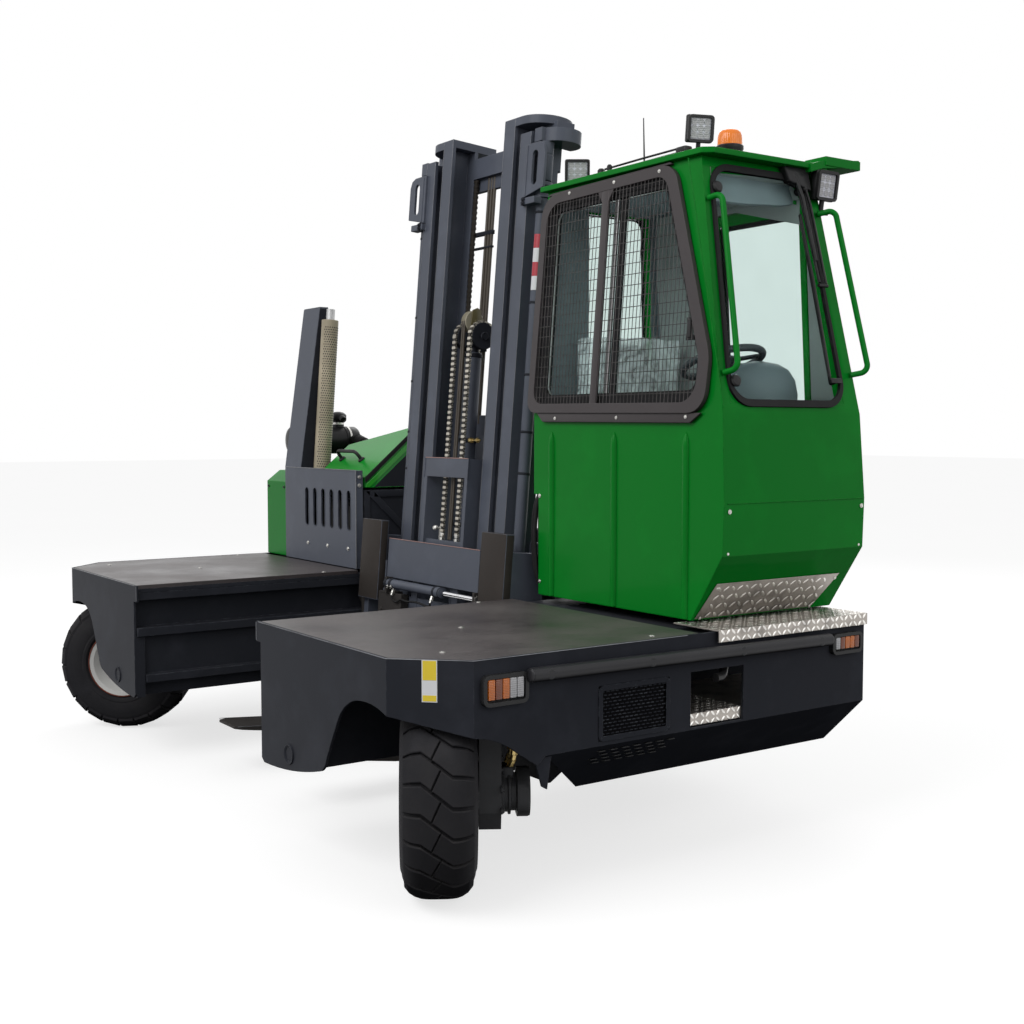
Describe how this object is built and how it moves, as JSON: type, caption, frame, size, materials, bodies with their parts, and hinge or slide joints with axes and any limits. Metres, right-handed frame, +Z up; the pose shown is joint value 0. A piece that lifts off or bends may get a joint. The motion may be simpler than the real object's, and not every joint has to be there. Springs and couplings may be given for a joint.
{
  "type": "sideloader",
  "caption": "Multi-directional side-loading forklift with load platforms, a reaching and tilting mast, forks, a closed cab, an engine bay and steered wheels.",
  "frame": {"origin": "on the ground, under the middle of the machine as it stands", "axes": "+X towards the cab end, +Y towards the rear, away from the forks, +Z up"},
  "size_m": [3.8238, 2.3043, 2.9722],
  "materials": {
    "chassis_paint": "semi-gloss dark slate enamel",
    "mast_paint": "satin slate enamel",
    "green_paint": "glossy green enamel",
    "deck_board": "phenolic faced plywood, dark brown",
    "checker_plate": "bright raised tread pattern",
    "black_trim": "black powder coat",
    "rubber": "matt",
    "tyre": "matt, block tread",
    "rim_paint": "off-white enamel",
    "drive_casting": "painted dark, oily",
    "chrome_rod": "polished",
    "chain_steel": "oiled",
    "glass": "clear, slightly green",
    "seat_fabric": "woven, dark, under clear film",
    "dash_plastic": "grained",
    "amber_lens": "clear amber",
    "engine_iron": "rough cast",
    "guard_cream": "perforated, cream",
    "tank_plastic": "moulded",
    "zinc_bolt": "zinc plated",
    "brass_fitting": "yellow passivated",
    "blank_plate": "blank, white and yellow",
    "red_marking": "reflective",
    "clear_film": "crumpled protective film",
    "clear_lens": "ribbed",
    "pulley_beige": "beige, greasy",
    "ballast_iron": "painted dark slate"
  },
  "bodies": {
    "chassis": {"platform_frame_right": "chassis_paint", "platform_frame_left": "chassis_paint", "deck_boards": "deck_board", "guide_beams": "chassis_paint", "bumper_tubes": "black_trim", "marker_lamps": "amber_lens", "rear_frame": "chassis_paint", "counterweight": "ballast_iron", "engine_block": "engine_iron", "engine_cover": "green_paint", "engine_bay_wall": "chassis_paint", "load_guard": "mast_paint", "exhaust_stack": "guard_cream", "air_cleaner": "black_trim", "fuel_tank": "tank_plastic", "cab_shell": "green_paint", "cab_roof": "green_paint", "cab_windows": "glass", "windscreen": "glass", "window_guard": "black_trim", "tread_plates": "checker_plate", "seat": "seat_fabric", "steering_console": "dash_plastic", "handrails": "green_paint", "work_lights": "dash_plastic", "beacon": "amber_lens"},
    "engine_hood": {"engine_hood": "green_paint"},
    "cab_door": {"cab_door": "green_paint", "door_glass": "glass"},
    "reach_carriage": {"reach_carriage": "chassis_paint"},
    "outer_mast": {"outer_mast": "mast_paint", "lift_cylinders": "mast_paint"},
    "inner_mast": {"inner_mast": "mast_paint", "lift_rams": "chrome_rod", "free_lift_cylinder": "mast_paint"},
    "chain_head": {"chain_head": "mast_paint"},
    "fork_carriage": {"fork_carriage": "mast_paint", "lift_chains": "chain_steel"},
    "fork_left": {"fork_left": "chassis_paint", "positioner_cylinder": "mast_paint"},
    "fork_right": {"fork_right": "chassis_paint", "positioner_rod": "chrome_rod"},
    "tilt_barrels": {"tilt_barrels": "mast_paint"},
    "tilt_rams": {"tilt_rams": "chrome_rod"},
    "steering_front_right": {"steering_leg_front_right": "drive_casting"},
    "wheel_front_right": {"rim_front_right": "rim_paint", "tyre_front_right": "tyre"},
    "steering_front_left": {"steering_leg_front_left": "drive_casting"},
    "wheel_front_left": {"rim_front_left": "rim_paint", "tyre_front_left": "tyre"},
    "steering_rear": {"steering_leg_rear": "drive_casting"},
    "wheel_rear": {"rim_rear": "rim_paint", "tyre_rear": "tyre"}
  },
  "joints": [
    {"name": "hood_hinge", "type": "hinge", "parent": "chassis", "child": "engine_hood", "pos_m": [-1, 0.964, 1.262], "axis": [-1, 0, 0], "range_deg": [0, 60]},
    {"name": "door_hinge", "type": "hinge", "parent": "chassis", "child": "cab_door", "pos_m": [1.06, 0.94, 1.6], "axis": [0, 0, 1], "range_deg": [0, 100]},
    {"name": "reach", "type": "slide", "parent": "chassis", "child": "reach_carriage", "axis": [0, -1, 0], "range_m": [0, 1.1]},
    {"name": "mast_tilt", "type": "hinge", "parent": "reach_carriage", "child": "outer_mast", "pos_m": [0, 0.232, 0.45], "axis": [1, 0, 0], "range_deg": [-1.3, 8.7]},
    {"name": "mast_lift", "type": "slide", "parent": "outer_mast", "child": "inner_mast", "axis": [0, 0.0825, 0.9966], "range_m": [0, 1.5]},
    {"name": "carriage_lift", "type": "slide", "parent": "inner_mast", "child": "fork_carriage", "axis": [0, 0.0825, 0.9966], "range_m": [0, 1.53], "deforming": ["lift_chains"]},
    {"name": "chain_head_lift", "type": "slide", "parent": "inner_mast", "child": "chain_head", "axis": [0, 0.0825, 0.9966], "range_m": [0, 0.766]},
    {"name": "fork_left_shift", "type": "slide", "parent": "fork_carriage", "child": "fork_left", "axis": [1, 0, 0], "range_m": [0, 0.13]},
    {"name": "fork_right_shift", "type": "slide", "parent": "fork_carriage", "child": "fork_right", "axis": [-1, 0, 0], "range_m": [0, 0.13]},
    {"name": "tilt_barrel_swing", "type": "hinge", "parent": "reach_carriage", "child": "tilt_barrels", "pos_m": [0, 0.502, 0.62], "axis": [1, 0, 0], "range_deg": [-1.6, 9.8]},
    {"name": "tilt_ram_slide", "type": "slide", "parent": "tilt_barrels", "child": "tilt_rams", "axis": [0, -0.3437, 0.9391], "range_m": [-0.008, 0.049]},
    {"name": "steer_front_right", "type": "hinge", "parent": "chassis", "child": "steering_front_right", "pos_m": [1.555, -0.838, 0.75], "axis": [0, 0, 1], "range_deg": [-63.4, 126.6]},
    {"name": "spin_front_right", "type": "hinge", "parent": "steering_front_right", "child": "wheel_front_right", "pos_m": [1.555, -0.838, 0.346], "axis": [0.524, 0.8517, 0], "continuous": true},
    {"name": "steer_front_left", "type": "hinge", "parent": "chassis", "child": "steering_front_left", "pos_m": [-1.555, -0.838, 0.75], "axis": [0, 0, 1], "range_deg": [-145, 45]},
    {"name": "spin_front_left", "type": "hinge", "parent": "steering_front_left", "child": "wheel_front_left", "pos_m": [-1.555, -0.838, 0.346], "axis": [-0.766, 0.6428, 0], "continuous": true},
    {"name": "steer_rear", "type": "hinge", "parent": "chassis", "child": "steering_rear", "pos_m": [0, 0.708, 0.75], "axis": [0, 0, 1], "range_deg": [-103, 87]},
    {"name": "spin_rear", "type": "hinge", "parent": "steering_rear", "child": "wheel_rear", "pos_m": [0, 0.708, 0.346], "axis": [-0.1392, 0.9903, 0], "continuous": true}
  ],
  "couplings": [
    {"joint": "chain_head_lift", "follows": "carriage_lift", "ratio": 0.5},
    {"joint": "tilt_barrel_swing", "follows": "mast_tilt", "ratio": 1.0924},
    {"joint": "tilt_ram_slide", "follows": "mast_tilt", "m_per_rad": 0.3161}
  ]
}
